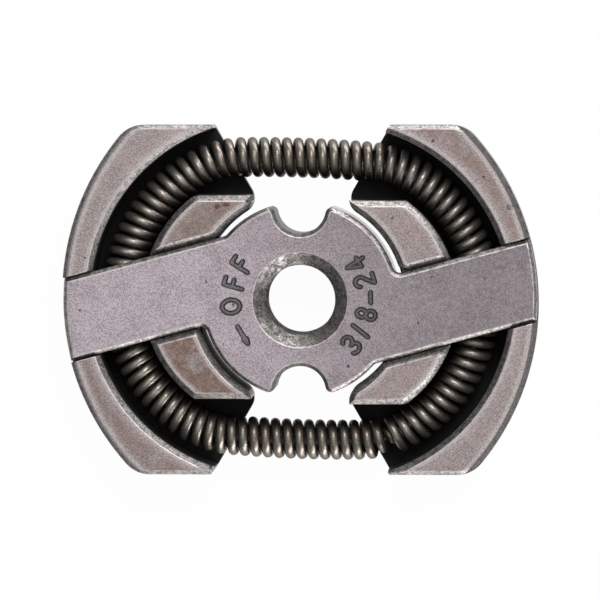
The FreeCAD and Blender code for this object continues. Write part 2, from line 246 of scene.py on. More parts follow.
# %% [markdown]
# Metal shows what it mirrors, so the lamps are set for the bevels. One large softbox overhead lights the
# flat faces, and the bevels at the lower right and at the top mirror two low ones. Bevels that face other
# ways stay dark, as in the photograph. A small key lamp gives each turn of the spring its highlight. A
# picture of a studio could light the scene too, but lamps can be moved one at a time.

# %% Softboxes
# Elevation in degrees above which a lamp takes the camera's up
STEEP = 80
# Name, azimuth and elevation in degrees, distance, width and height in metres, brightness
SOFTBOXES = [
    ("softbox_overhead", 90, 88, 1.1, 1.3, 1.3, 0.85),
    ("softbox_lower_right", -60, 11, 0.6, 0.66, 0.26, 9.5),
    ("softbox_top", 66, 9, 0.6, 0.80, 0.20, 8.4),
    ("softbox_key", 75, 60, 0.8, 0.28, 0.28, 9.5),
]


def softbox(name, azimuth, elevation, distance, width, height, brightness):
    """An area lamp that looks at the clutch and doesn't show itself to the camera."""
    lamp = bpy.data.lights.new(name, "AREA")
    lamp.shape = "RECTANGLE"
    lamp.size = width
    lamp.size_y = height
    lamp.energy = brightness * math.pi * width * height
    made = add_object(name, lamp)
    turn = math.radians(azimuth)
    lift = math.radians(elevation)
    back = Vector((math.cos(turn) * math.cos(lift), math.sin(turn) * math.cos(lift), math.sin(lift)))
    up = Vector((0, 1, 0)) if elevation > STEEP else Vector((0, 0, 1))
    made.matrix_world = Matrix.Translation(back * distance) @ facing(back, up)
    made.visible_camera = False


for lamp_values in SOFTBOXES:
    softbox(*lamp_values)

# %% [markdown]
# Every finish here starts from two things: the place on the piece, in millimetres, and the way its surface
# faces. Both come from the Texture Coordinate node in the object's own space. Painted pictures would need
# the meshes unwrapped first. Noise in space needs nothing, and keeps its real size on every side.

# %% Helpers for finishes
# Limits of a spot: 1 is its edge, and the ragged noise adds about 1
OVAL_RIM = 2.1
OVAL_CORE = 1.7


def new_finish(name):
    """A material, its surface shader, the place in millimetres and the direction of the surface."""
    paint = bpy.data.materials.new(name)
    paint.use_nodes = True
    shader = paint.node_tree.nodes["Principled BSDF"]
    coordinates = paint.node_tree.nodes.new("ShaderNodeTexCoord")
    metres = Wire(paint.node_tree, coordinates.outputs["Object"])
    place = metres.node("ShaderNodeVectorMath", {"operation": "SCALE"}, {0: metres, "Scale": 1 / MM})
    return paint, shader, place, Wire(paint.node_tree, coordinates.outputs["Normal"])


def connect(shader, **wires):
    """Links wires to the shader's sockets, whose names have spaces for underscores."""
    for name, wire in wires.items():
        wire.tree.links.new(wire.socket, shader.inputs[name.replace("_", " ")])


def ovals(place, ragged, spots):
    """1 in oval spots, given by middle and half widths in millimetres; ragged noise frays their edges."""
    found = 0.0
    for x, y, wide, high in spots:
        offset = place.vector("SUBTRACT", (x, y, 0)).vector("MULTIPLY", (1 / wide, 1 / high, 0))
        found = found + (offset.vector("LENGTH", out="Value") + 2.0 * ragged).rise(OVAL_RIM, OVAL_CORE)
    return found


print("helpers for places and spots are ready")

# %% [markdown]
# Hub and shoes are pressed from metal powder and fired. The pressed faces are satin, grey with a touch of
# lilac, and speckled at the size of the powder grains, with a few open pores and rust spots. The bevels are
# darker bare metal, the walls are smooth and scuffed, and the rounded rim of each face is paler, partly
# rubbed bright and partly a painted highlight. One function makes both finishes, because they are the same
# metal. What differs, stains and painted shade among it, comes in as small functions of the place.

# %% Sintered metal
RAW_DARK = srgb(78, 75, 73)
RAW_PALE = srgb(162, 157, 154)
WARM = srgb(176, 160, 146)
SCUFF_DARK = srgb(86, 81, 78)
SCUFF_PALE = srgb(132, 126, 122)
# Pale colour of rubbed rims, also used as a painted highlight
RUBBED_AND_HIGHLIGHT = srgb(190, 184, 182)
FLECK = srgb(142, 108, 88)
PORE = srgb(58, 48, 46)
RUST = srgb(88, 58, 52)
# Black of old oil, and of painted shade in hollows and on bevels
SHADE_AND_OIL_BLACK = srgb(18, 17, 16)
# Scales of the patterns, in repeats per millimetre
GRAIN_SCALE = 5.6
RAW_SCALE = 5.0
COARSE_SCALE = 1.6
PATCH_SCALE = 0.33
PORE_SCALE = 0.62
POWDER_METAL = 0.85
POWDER_RELIEF = 0.04 * MM


def sintered(name, clean, stain_and_shade_colours, stain_and_shade_mask, black_at, pits, rusty, scuffs, margin_highlight=None):
    """Fired metal powder.

    Clean is the dark and pale colour of the speckle; the second pair is the colour of brown stain on the
    shoes and of painted shade on the hub. The three functions of the place give masks: stain and painted
    shade, oil and painted shade in black, and a painted highlight on the margins. Pits and rusty are oval
    spots, and scuffs scales the marks on the walls along each axis.
    """
    paint, shader, place, normal = new_finish(name)
    grain = place.noise(GRAIN_SCALE, 3.0, 0.8)
    coarse = place.noise(COARSE_SCALE, 4.0, 0.7)
    patch = place.noise(PATCH_SCALE, 3.0, 0.6) * 0.7 + coarse * 0.3

    # The upward share of the normal is 1 on faces, about 0.7 on bevels and 0 on walls
    level = normal.part(2)
    bevel = abs(level).rise(0.90, 0.80)
    wall = abs(level).rise(0.2, 0.1)
    black = black_at(place, level)
    # Rims: partly rubbed wear, partly a painted highlight along each rounded edge
    upper_rim = level.rise(0.995, 0.965) * level.rise(0.80, 0.88)
    lower_rim = level.rise(0.66, 0.56) * level.rise(0.20, 0.32)
    rim_wear_and_highlight = (upper_rim + 0.4 * lower_rim) * black.rise(0.25, 0.05)

    speckle = (grain * 0.8 + patch * 0.2).rise(0.40, 0.60)
    # Stain on the shoes, and painted shade on the hub, darken the speckle
    colour = (stain_and_shade_mask(place, patch) * (0.5 + grain)).mix(speckle.mix(*clean), speckle.mix(*stain_and_shade_colours))
    colour = (coarse.rise(0.45, 0.75) * 0.35).mix(colour, WARM)
    cells = place.cells(PORE_SCALE)
    chosen = cells.node("ShaderNodeSeparateColor", None, {"Color": cells.beside("Color")})
    pore = (cells + 0.25 * grain).rise(0.27, 0.20) * chosen.rise(0.86, 0.90) + ovals(place, coarse, pits)
    colour = (pore * 0.8).mix(colour, PORE)
    colour = (ovals(place, 0.6 * coarse + 0.7 * grain, rusty) * 0.85).mix(colour, RUST)
    # Painted highlight along the margins of the front faces
    if margin_highlight:
        colour = (margin_highlight(place) * grain.rise(0.30, 0.55) * 0.52).mix(colour, RUBBED_AND_HIGHLIGHT)

    raw = (place.noise(RAW_SCALE, 2.0, 0.8) * 0.6 + coarse * 0.4).rise(0.40, 0.60)
    bare = coarse.rise(0.62, 0.72).mix(raw.mix(RAW_DARK, RAW_PALE), FLECK)
    scuff = place.vector("MULTIPLY", scuffs).noise(1.0, 4.0, 0.7).rise(0.30, 0.70)
    bare = wall.mix(bare, scuff.mix(SCUFF_DARK, SCUFF_PALE))
    colour = bevel.mix(colour, bare)
    # Rubbed wear and painted highlight on the rims
    colour = (rim_wear_and_highlight * coarse.rise(0.30, 0.55)).mix(colour, RUBBED_AND_HIGHLIGHT)
    # Black: old oil, and painted shade in hollows and on bevels
    colour = black.mix(colour, SHADE_AND_OIL_BLACK)

    rough = 0.42 + 0.18 * grain - 0.14 * bevel - 0.12 * rim_wear_and_highlight - 0.22 * wall + 0.45 * black
    metal = POWDER_METAL - 0.8 * black - 0.4 * rim_wear_and_highlight
    height = grain * (0.5 + 0.4 * bevel - 0.8 * wall) - pore * 1.5
    relief = {"Height": height, "Strength": 0.5, "Distance": POWDER_RELIEF}
    bump = height.node("ShaderNodeBump", None, relief)
    connect(shader, Base_Color=colour, Roughness=rough, Metallic=metal, Normal=bump)
    print("finish", name, "with", len(paint.node_tree.nodes), "nodes")
    return paint


# %% [markdown]
# Painted shade darkens the hub's stamped strokes on their sloping sides, and less at the bottom. Painted
# shade darkens the walls of the spanner notches too, and old oil lies in patches on the mouth of the bore.
# Painted shade grows from the left arm to the right one, and the hub's outer walls carry upright scuffs from
# leaving the press. Faces could get materials of their own, but the edges of stains and shade are soft, so
# masks find these places: the strokes, for one, lie just below the front face in a ring beside the bore.

# %% Hub finish
# Places on the hub, in millimetres
FACE = 12.0
MARKS_INNER = 6.2
MARKS_OUTER = 10.8
MARKS_SIDE = 7.0
MARKS_FLOOR = 11.0
MOUTH_REACH = 6.0
NOTCH_REACH = 3.9
NOTCH_MIDDLE = (0, 11.25, 0)
SOFT = 0.2


def hub_shade_and_oil(place, level):
    """Painted shade in the stamped strokes and on the walls of the notches, and oil patches on the mouth of
    the bore.
    """
    flat = place.vector("MULTIPLY", (1, 1, 0))
    reach = flat.vector("LENGTH", out="Value")
    height = place.part(2)
    ring = reach.rise(MARKS_INNER, MARKS_INNER + SOFT) * reach.rise(MARKS_OUTER, MARKS_OUTER - SOFT)
    beside = abs(place.part(1)).rise(MARKS_SIDE, MARKS_SIDE - SOFT)
    below = height.rise(FACE - 0.005, FACE - 0.025) * height.rise(MARKS_FLOOR, MARKS_FLOOR + SOFT)
    # Painted shade: the strokes are darker on their sloping sides than at the bottom
    marks = ring * beside * below * (0.5 + 0.42 * level.rise(0.97, 0.82))
    notch_distance = flat.vector("ABSOLUTE").vector("DISTANCE", NOTCH_MIDDLE, out="Value")
    # Painted shade on the walls and bevels of the notches
    notch = notch_distance.rise(NOTCH_REACH, NOTCH_REACH - SOFT) * level.rise(0.95, 0.75)
    patchy = place.noise(1.1, 3.0, 0.6).rise(0.62, 0.42)
    mouth = reach.rise(MOUTH_REACH, MOUTH_REACH - 0.1) * level.rise(0.95, 0.85) * patchy
    return marks + notch * 0.6 + mouth * 0.38


def shade_and_patches(place, patch):
    """Painted shade, more towards the right arm and a little at the top, and dull patches."""
    # Painted shade, growing towards the right arm and a little towards the top
    share = place.part(0).rise(-16.0, 22.0) * 0.78 + place.part(1).rise(2.0, 10.0) * 0.2
    return share + patch.rise(0.55, 0.75) * 0.25


spider_finish = sintered(
    "sintered_spider",
    clean=(srgb(129, 120, 126), srgb(191, 180, 187)),
    stain_and_shade_colours=(srgb(88, 83, 86), srgb(134, 126, 130)),
    stain_and_shade_mask=shade_and_patches,
    black_at=hub_shade_and_oil,
    pits=[(5.9, -8.1, 0.2, 0.2), (-26.9, -1.3, 0.2, 0.15)],
    rusty=[(-9.4, -5.4, 0.2, 0.15)],
    scuffs=(4.5, 4.5, 0.3),
)

# %% [markdown]
# A shoe is an outer wall with the friction face and an inner pair of pads, with the spring channel between
# them. Its edges are arcs, so the distance to the middle of an arc tells where a place lies on the shoe.
# The left shoe is the right one turned half round, so the same distances serve both, with the signs turned.

# %% Places on a shoe
# Sizes of the right shoe, in millimetres
CHANNEL_SHIFT = 3.9
CHANNEL_LIFT = 0.3
CHANNEL_OUTER = 21.75
CHANNEL_INNER = 15.4
CHANNEL_FLOOR = 2.6
BEVEL_FOOT = 11.15
PAD_END = 12.1
PAD_RADIUS = 12.9
FRICTION_RADIUS = 30.8
FRICTION_CENTRE = (-1.64, -0.44)


def shoe_distance(place, x, y):
    """Distance, seen from the front, to a point of the right shoe, or to its twin on the left shoe."""
    side = place.part(0).math("SIGN", place.part(0), 0.0)
    centre = side.node("ShaderNodeCombineXYZ", None, {0: side * x, 1: side * y})
    return place.vector("MULTIPLY", (1, 1, 0)).vector("DISTANCE", centre, out="Value")


def channel_distance(place):
    """Distance to the middle of the channel's arcs."""
    return shoe_distance(place, CHANNEL_SHIFT, -CHANNEL_LIFT)


def drum_distance(place):
    """Distance to the middle of the friction face's arc."""
    return shoe_distance(place, *FRICTION_CENTRE)


print("spring channel", CHANNEL_OUTER - CHANNEL_INNER, "mm wide")

# %% [markdown]
# The spring channel is black, partly with old oil and partly as painted shade of the deep channel. Painted
# shade also blackens the walls of the pads towards the hub and darkens the bevels towards the hub, the
# channel and the drum. Brown stain lies in the middle of the faces, most of it on the left pads, and a
# painted highlight runs along their edges. The drum leaves scuffs that run round the friction faces. Vertex
# colours could hold such stains and shade, but large flat faces have too few vertices, so these are masks as
# well.

# %% Shoe finish
def shoe_shade_and_oil(place, level):
    """1 in the spring channels of both shoes, oil and painted shade, and on the pad walls towards the hub;
    less, as painted shade, on the bevels towards channel, hub and drum.
    """
    reach = channel_distance(place)
    hub_reach = shoe_distance(place, 0, 0)
    height = place.part(2)
    beyond_pad = abs(place.part(1)).rise(PAD_END - 0.1, PAD_END)
    within = reach.math("MAXIMUM", reach.rise(CHANNEL_INNER - 0.08, CHANNEL_INNER - 0.02), beyond_pad)
    inside = reach.rise(CHANNEL_OUTER + 0.08, CHANNEL_OUTER + 0.02)
    # Black in the channel: partly old oil, partly painted shade
    channel = within * inside * height.rise(CHANNEL_FLOOR, CHANNEL_FLOOR + 0.3)
    # Painted shade on the pad walls towards the hub
    pad_wall = hub_reach.rise(PAD_RADIUS + 0.05, PAD_RADIUS - 0.05)
    deep = reach.math("MAXIMUM", channel, pad_wall) * height.rise(BEVEL_FOOT, BEVEL_FOOT - 0.15)

    # Painted shade on the bevels towards the hub, the left shoe's channel and the drum
    right = place.part(0).rise(-5.0, 5.0)
    hub_bevel = hub_reach.rise(PAD_RADIUS + 0.6, PAD_RADIUS + 0.4)
    left_bevel = reach.rise(CHANNEL_OUTER + 0.75, CHANNEL_OUTER + 0.65) * place.part(0).rise(5.0, -5.0)
    bevels = (hub_bevel * 0.5 + within * left_bevel * 0.2) * level.rise(0.95, 0.85)
    drum_side = drum_distance(place).rise(FRICTION_RADIUS - 0.8, FRICTION_RADIUS - 0.6)
    drum_bevel = drum_side * level.rise(0.1, 0.3) * (0.4 + 0.32 * right)
    return reach.math("MAXIMUM", deep, bevels + drum_bevel)


def shoe_margin_highlight(place):
    """Painted highlight: 1 along the edges of the front faces of walls and pads."""
    reach = channel_distance(place)
    on_wall = reach.rise(CHANNEL_OUTER, CHANNEL_OUTER + 0.1)
    outer = drum_distance(place).rise(FRICTION_RADIUS - 1.35, FRICTION_RADIUS - 1.05)
    inner = reach.rise(CHANNEL_OUTER + 1.2, CHANNEL_OUTER + 0.9) * on_wall
    pad = reach.rise(CHANNEL_INNER - 1.2, CHANNEL_INNER - 0.9) * (1 - on_wall)
    return outer + inner + pad + shoe_distance(place, 0, 0).rise(PAD_RADIUS + 1.1, PAD_RADIUS + 0.8)


def browned(place, patch):
    """Stain in the middle of the walls and pads, most of it on the left shoe's pads."""
    reach = channel_distance(place)
    wall = reach.rise(CHANNEL_OUTER + 0.8, CHANNEL_OUTER + 2.2)
    wall = wall * drum_distance(place).rise(FRICTION_RADIUS - 0.5, FRICTION_RADIUS - 2.0)
    pad = reach.rise(CHANNEL_INNER - 0.7, CHANNEL_INNER - 1.8)
    pad = pad * shoe_distance(place, 0, 0).rise(PAD_RADIUS + 0.5, PAD_RADIUS + 1.5)
    left = place.part(0).rise(1.0, -1.0)
    lower = place.part(1).rise(2.0, -2.0)
    twist = (place.part(0) * place.part(1)).rise(-150.0, 150.0)
    share = wall * (0.33 + 0.42 * twist) + pad * (0.35 + left * (0.5 + 0.6 * lower))
    return share * patch.rise(0.32, 0.56)


shoe_finish = sintered(
    "sintered_shoe",
    clean=(srgb(121, 112, 112), srgb(180, 169, 169)),
    stain_and_shade_colours=(srgb(92, 76, 69), srgb(136, 114, 105)),
    stain_and_shade_mask=browned,
    black_at=shoe_shade_and_oil,
    pits=[(25.6, 11.3, 0.45, 0.45), (16.2, 19.4, 0.2, 0.2), (-26.3, 5.1, 0.15, 0.15)],
    rusty=[(-10.1, 11.4, 0.9, 0.5), (-9.1, 11.6, 0.8, 0.36)],
    scuffs=(0.25, 0.25, 7.0),
    margin_highlight=shoe_margin_highlight,
)

# %% [markdown]
# The CAD meshes are made of triangles, and a Bevel or Boolean modifier works badly on those. Modelling the
# shapes again would risk leaving the CAD sizes. Welding the corners and dissolving the lines inside each
# flat face gives clean large faces from the very same corners.

# %% Clean faces
WELD_DISTANCE = 0.002 * MM
FLAT_ANGLE = math.radians(0.6)


def joined_faces(node):
    """A new mesh like a CAD node's, with the triangles of each flat face joined."""
    work = bmesh.new()
    work.from_mesh(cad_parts[node].data)
    bmesh.ops.remove_doubles(work, verts=work.verts, dist=WELD_DISTANCE)
    bmesh.ops.dissolve_limit(work, angle_limit=FLAT_ANGLE, verts=work.verts, edges=work.edges)
    work.verts.index_update()
    points = [vertex.co.copy() for vertex in work.verts]
    faces = [[vertex.index for vertex in face.verts] for face in work.faces]
    work.free()
    mesh = bpy.data.meshes.new(node + "_edges")
    mesh.from_pydata(points, [], faces)
    print(node, "has", len(faces), "clean faces")
    return mesh


def place_key(point):
    """A point rounded to whole micrometres."""
    return tuple(round(part / MM, 3) for part in point)


# %% [markdown]
# No edge of a pressed part is perfectly sharp: each is slightly round and catches the light as a thin line.
# Rounding every edge in the CAD model would make it heavy, so a narrow Bevel modifier does it here. It goes
# by the weight of each edge, which leaves out edges that are nearly flat. At pointed tips the rounds of two
# sides would overlap, so the last millimetre there stays sharp.

# %% Broken edges
EDGE_ANGLE = math.radians(28)
EDGE_ROUND = 0.13 * MM
EDGE_SEGMENTS = 3
TIP_ANGLE = math.radians(60)
TIP_REACH = 1.2 * MM


def spare_tips(work, weight):
    """Takes the weight off edges near pointed tips, where the rounds of two sides would overlap."""
    tips = []
    for vertex in work.verts:
        marked = [edge for edge in vertex.link_edges if edge[weight] > 0]
        ways = [edge.other_vert(vertex).co - vertex.co for edge in marked]
        if any(one.angle(other) < TIP_ANGLE for one, other in itertools.combinations(ways, 2)):
            tips.append(vertex)
    for tip in tips:
        for edge in list(tip.link_edges):
            if edge[weight] > 0 and edge.calc_length() > TIP_REACH:
                bmesh.utils.edge_split(edge, tip, TIP_REACH / edge.calc_length())
    for edge in work.edges:
        for tip in tips:
            if all((vertex.co - tip.co).length < TIP_REACH + WELD_DISTANCE for vertex in edge.verts):
                edge[weight] = 0.0
    print("pointed tips:", len(tips))


def mark_edges(mesh, corners):
    """Gives a bevel weight to the sharp edges between corners of the CAD mesh."""
    work = bmesh.new()
    work.from_mesh(mesh)
    weight = work.edges.layers.float.new("bevel_weight_edge")
    for edge in work.edges:
        ends = all(place_key(vertex.co) in corners for vertex in edge.verts)
        if ends and edge.is_manifold and edge.calc_face_angle() > EDGE_ANGLE:
            edge[weight] = 1.0
    spare_tips(work, weight)
    work.to_mesh(mesh)
    work.free()


def break_edges(piece, corners):
    """Rounds the sharp edges of a piece that the CAD mesh has too."""
    mark_edges(piece.data, corners)
    bevel = piece.modifiers.new("broken_edges", "BEVEL")
    bevel.limit_method = "WEIGHT"
    bevel.width = EDGE_ROUND
    bevel.segments = EDGE_SEGMENTS
    bevel.use_clamp_overlap = False


# %% [markdown]
# The two shoes are the friction pieces that slide out to the drum. Each is its CAD mesh with broken edges.
# Smooth shading alone would make the large faces look swollen, so the edges of level faces are marked sharp
# and Weighted Normal keeps the rest flat. The dressed piece then takes the place of its CAD node.

# %% Shoes
SMOOTH_ANGLE = math.radians(40)
LEVEL = 0.99999


def keep_flat(piece):
    """Shades a piece smooth across its rounds and flat on its faces."""
    mesh = piece.data
    mesh.shade_smooth()
    mesh.set_sharp_from_angle(angle=SMOOTH_ANGLE)
    flats = {key for face in mesh.polygons if abs(face.normal.z) > LEVEL for key in face.edge_keys}
    for edge in mesh.edges:
        if edge.key in flats:
            edge.use_edge_sharp = True
    weighted = piece.modifiers.new("flat_faces", "WEIGHTED_NORMAL")
    weighted.keep_sharp = True


def freeze(piece):
    """Replaces a piece's mesh by what its modifiers make of it."""
    graph = bpy.context.evaluated_depsgraph_get()
    mesh = bpy.data.meshes.new_from_object(piece.evaluated_get(graph))
    piece.modifiers.clear()
    piece.data = mesh


def stand_for(piece, node, paint):
    """Lets a piece take a CAD node's place, body and finish."""
    piece.data.materials.clear()
    piece.data.materials.append(paint)
    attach(piece, node)
    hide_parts(node)
    print(piece.name, "has", len(piece.data.polygons), "faces")


for node in ("left_shoe", "right_shoe"):
    shoe = add_object(node + "_dressed", joined_faces(node))
    break_edges(shoe, {place_key(vertex.co) for vertex in shoe.data.vertices})
    freeze(shoe)
    keep_flat(shoe)
    stand_for(shoe, node, shoe_finish)

# %% [markdown]
# The hub's bore has a fine thread, which the CAD model leaves as a plain hole at the crest radius. Bump in
# the material could hint at it, but not at the ends of the bore. On the real hub a tap cuts it, so the
# cutter here is a tap as well: a rod whose radius rises and falls along a helix. Its surface is one grid in
# angle and height, so it is closed and cannot cut itself.

# %% Thread cutter
INCH_IN_MM = 25.4
THREADS_PER_INCH = 24
THREAD_PITCH = INCH_IN_MM / THREADS_PER_INCH * MM
THREAD_CREST = 4.24 * MM
THREAD_DEPTH = 0.56 * MM
TAP_OVERRUN = 0.6 * MM
TAP_OVERLAP = 0.05 * MM
TAP_SIDES = 56
TAP_ROWS_PER_TURN = 12


def make_tap():
    """A threaded rod a little longer than the bore."""
    low = -TAP_OVERRUN
    rows = int((FRONT - 2 * low) / THREAD_PITCH * TAP_ROWS_PER_TURN)
    points = []
    for row in range(rows + 1):
        for side in range(TAP_SIDES):
            phase = (row / TAP_ROWS_PER_TURN - side / TAP_SIDES) % 1
            ridge = 1 - abs(2 * phase - 1)
            radius = THREAD_CREST - TAP_OVERLAP + (THREAD_DEPTH + TAP_OVERLAP) * ridge
            angle = 2 * math.pi * side / TAP_SIDES
            points.append((radius * math.cos(angle), radius * math.sin(angle),
                           low + row * THREAD_PITCH / TAP_ROWS_PER_TURN))
    faces = [list(range(TAP_SIDES))[::-1], [rows * TAP_SIDES + side for side in range(TAP_SIDES)]]
    for row in range(rows):
        for side in range(TAP_SIDES):
            beside = (side + 1) % TAP_SIDES
            base = row * TAP_SIDES
            faces.append([base + side, base + beside, base + TAP_SIDES + beside, base + TAP_SIDES + side])
    mesh = bpy.data.meshes.new("tap")
    mesh.from_pydata(points, [], faces)
    print("tap with", rows, "rows")
    return add_object("tap", mesh)


tap = make_tap()

# %% [markdown]
# The front face carries stamped marks: an arrow with OFF, the way to unscrew the clutch, and the size of
# the standard thread. A font's flat outlines would look printed. A punch leaves plain strokes, so each
# character is drawn as a few lines and arcs in a unit square, and then set out round the bore.

# %% Characters
STROKE_STEPS = 12


def arc(x, y, radius_x, radius_y, start, end):
    """Points along part of an ellipse, in degrees, in a unit square."""
    angles = [math.radians(start + (end - start) * step / STROKE_STEPS) for step in range(STROKE_STEPS + 1)]
    return [(x + radius_x * math.cos(angle), y + radius_y * math.sin(angle)) for angle in angles]


STROKES = {
    "arrow": [[(1.43, 0.5), (-0.45, 0.5)], [(0.04, 0.58), (-0.45, 0.5)], [(0.04, 0.42), (-0.45, 0.5)]],
    "O": [arc(0.5, 0.5, 0.64, 0.48, 0, 360)],
    "F": [[(0, 0), (0, 1)], [(0, 1), (0.72, 1)], [(0, 0.54), (0.66, 0.54)]],
    "3": [arc(0.42, 0.74, 0.46, 0.26, 150, -90), arc(0.42, 0.24, 0.52, 0.24, 90, -150)],
    "/": [[(0.32, 0), (0.68, 1)]],
    "8": [arc(0.5, 0.75, 0.38, 0.25, 0, 360), arc(0.5, 0.25, 0.43, 0.25, 0, 360)],
    "-": [[(0, 0.36), (1, 0.36)]],
    "2": [arc(0.45, 0.72, 0.45, 0.28, 165, -35) + [(0.35, 0.27), (0.02, 0)], [(0.02, 0), (0.95, 0)]],
    "4": [[(0.62, 0), (0.62, 1)], [(0.62, 1), (0, 0.3)], [(0, 0.3), (0.95, 0.3)]],
}

# Mark, angle round the bore in degrees, distance from its axis in millimetres
UNSCREW_MARKS = [("arrow", 211.5, 8.23), ("O", 185.5, 8.47), ("F", 164.5, 8.33), ("F", 147.5, 8.35)]
THREAD_MARKS = [
    ("3", -40.7, 8.3), ("/", -27.3, 8.3), ("8", -12.2, 8.25),
    ("-", 2, 8.3), ("2", 17, 8.2), ("4", 33.1, 8.1),
]
print(len(UNSCREW_MARKS) + len(THREAD_MARKS), "marks round the bore")

# %% [markdown]
# A punch leaves shallow strokes with a round bottom. The cutter for them is a round rod along each stroke.
# A curve object with a round bevel would make such rods too, but its ends are flat. Rings of points along
# the stroke, smaller towards open ends, give domed ones.

# %% Rods along strokes
STROKE_RADIUS = 0.42 * MM
STROKE_SIDES = 10
DOME_ANGLES = (0.35 * math.pi, 0.18 * math.pi)


def stroke_stations(path):
    """Centre, direction and radius of each ring of a stroke, with domed ends unless it is closed."""
    closed = (path[0] - path[-1]).length < WELD_DISTANCE
    line = path[:-1] if closed else path
    stations = []
    for number, centre in enumerate(line):
        before = line[number - 1] if closed or number > 0 else centre
        after = line[(number + 1) % len(line)] if closed or number + 1 < len(line) else centre
        stations.append((centre, (after - before).normalized(), STROKE_RADIUS))
    if closed:
        return stations, True
    first = stations[0]
    last = stations[-1]
    for angle in DOME_ANGLES[::-1]:
        back = first[0] - first[1] * STROKE_RADIUS * math.sin(angle)
        ahead = last[0] + last[1] * STROKE_RADIUS * math.sin(angle)
        stations.insert(0, (back, first[1], STROKE_RADIUS * math.cos(angle)))
        stations.append((ahead, last[1], STROKE_RADIUS * math.cos(angle)))
    return stations, False


def add_stroke(points, faces, path):
    """Adds the round solid of one stroke to lists of points and faces."""
    base = len(points)
    stations, closed = stroke_stations(path)
    for centre, ahead, radius in stations:
        across = Vector((0, 0, 1)).cross(ahead)
        for side in range(STROKE_SIDES):
            angle = 2 * math.pi * side / STROKE_SIDES
            points.append(centre + (across * math.cos(angle) + Vector((0, 0, math.sin(angle)))) * radius)
    count = len(stations)
    for row in range(count if closed else count - 1):
        low = base + row * STROKE_SIDES
        high = base + (row + 1) % count * STROKE_SIDES
        for side in range(STROKE_SIDES):
            beside = (side + 1) % STROKE_SIDES
            faces.append([low + side, low + beside, high + beside, high + side])
    if not closed:
        faces.append([base + side for side in range(STROKE_SIDES)][::-1])
        faces.append([base + (count - 1) * STROKE_SIDES + side for side in range(STROKE_SIDES)])


print("rods of", STROKE_SIDES, "sides and", STROKE_RADIUS / MM, "mm radius")

# %% [markdown]
# The rods of all the marks make one punch, so that they are cut in a single step. It lies mostly above the
# face, because a stamp is shallow: a rod that lay deeper would cut wide grooves with steep sides.

# %% Punch
MARK_HEIGHT = 2.3 * MM
MARK_WIDTH = 1.3 * MM
STROKE_LIFT = 0.235 * MM


def mark_paths(mark, angle, distance, outward):
    """Strokes of one mark on the front face; its top points away from the bore, or towards it."""
    turn = math.radians(angle)
    spoke = Vector((math.cos(turn), math.sin(turn), 0))
    rise = spoke if outward else -spoke
    along = rise.cross(Vector((0, 0, 1)))
    middle = spoke * distance * MM + Vector((0, 0, FRONT + STROKE_LIFT))
    for stroke in STROKES[mark]:
        yield [middle + along * (x - 0.5) * MARK_WIDTH + rise * (y - 0.5) * MARK_HEIGHT for x, y in stroke]


def make_punch():
    """All the strokes as one cutter."""
    points = []
    faces = []
    for marks, outward in ((UNSCREW_MARKS, True), (THREAD_MARKS, False)):
        for mark, angle, distance in marks:
            for path in mark_paths(mark, angle, distance, outward):
                add_stroke(points, faces, path)
    mesh = bpy.data.meshes.new("punch")
    mesh.from_pydata(points, [], faces)
    print("punch with", len(faces), "faces")
    return add_object("punch", mesh)


punch = make_punch()

# %% [markdown]
# The hub carries the shoes on its two arms and screws onto the crankshaft. It takes both cutters by Boolean
# modifiers, which need a clean closed mesh, so its edges are broken after that. Only edges between corners
# of the CAD mesh are broken, because a bevel along the many short edges of a thread or a stamp would fold
# over itself. Each cutter is removed once it has cut.

# %% Hub with thread and marks
def cut_with(piece, tools):
    """Cuts tools out of a piece, one after the other, and removes them."""
    for tool in tools:
        step = piece.modifiers.new("cut", "BOOLEAN")
        step.operation = "DIFFERENCE"
        step.solver = "EXACT"
        step.use_self = True
        step.object = tool
        freeze(piece)
        bpy.data.objects.remove(tool)


spider = add_object("spider_dressed", joined_faces("spider"))
cad_corners = {place_key(vertex.co) for vertex in spider.data.vertices}
cut_with(spider, [tap, punch])
break_edges(spider, cad_corners)
freeze(spider)
keep_flat(spider)
stand_for(spider, "spider", spider_finish)

# %% [markdown]
# The garter spring is one wire, coiled along a ring that the channels and the free spans between them
# give. A free curve through points would do for its centre line, but would bulge between them. Arcs that
# meet without a kink keep it where the CAD model has it, and the distance along them gives every point.

# %% Spring route
# Sizes of the ring, in millimetres
SPRING_RADIUS = 18.2
SPRING_WRAP = math.radians(55)
SPAN_OFFSET = 17.31
SPAN_RADIUS = 160.0
SPRING_TILT = math.radians(-2)
SPRING_LEVEL = 5.8


def spring_arcs():
    """Arcs of the ring, counter-clockwise: centre, radius, start angle and sweep, in millimetres."""
    drop = SPAN_RADIUS - SPAN_OFFSET
    spread = SPAN_RADIUS - SPRING_RADIUS
    inset = (CHANNEL_SHIFT ** 2 + drop ** 2 - spread ** 2) / (
        2 * (spread - CHANNEL_SHIFT * math.cos(SPRING_WRAP) - drop * math.sin(SPRING_WRAP)))
    corner = SPRING_RADIUS - inset
    corner_x = CHANNEL_SHIFT + inset * math.cos(SPRING_WRAP)
    corner_y = inset * math.sin(SPRING_WRAP)
    span_start = math.atan2(corner_y + drop, corner_x)
    bend = span_start - SPRING_WRAP
    arcs = []
    for half in (0, 1):
        sign = 1 - 2 * half
        turn = half * math.pi
        arcs.append((sign * CHANNEL_SHIFT, 0, SPRING_RADIUS, turn - SPRING_WRAP, 2 * SPRING_WRAP))
        arcs.append((sign * corner_x, sign * corner_y, corner, turn + SPRING_WRAP, bend))
        arcs.append((0, -sign * drop, SPAN_RADIUS, turn + span_start, math.pi - 2 * span_start))
        arcs.append((-sign * corner_x, sign * corner_y, corner, turn + math.pi - span_start, bend))
    return arcs


ARCS = spring_arcs()
RING_LENGTH = sum(radius * sweep for _, _, radius, _, sweep in ARCS)


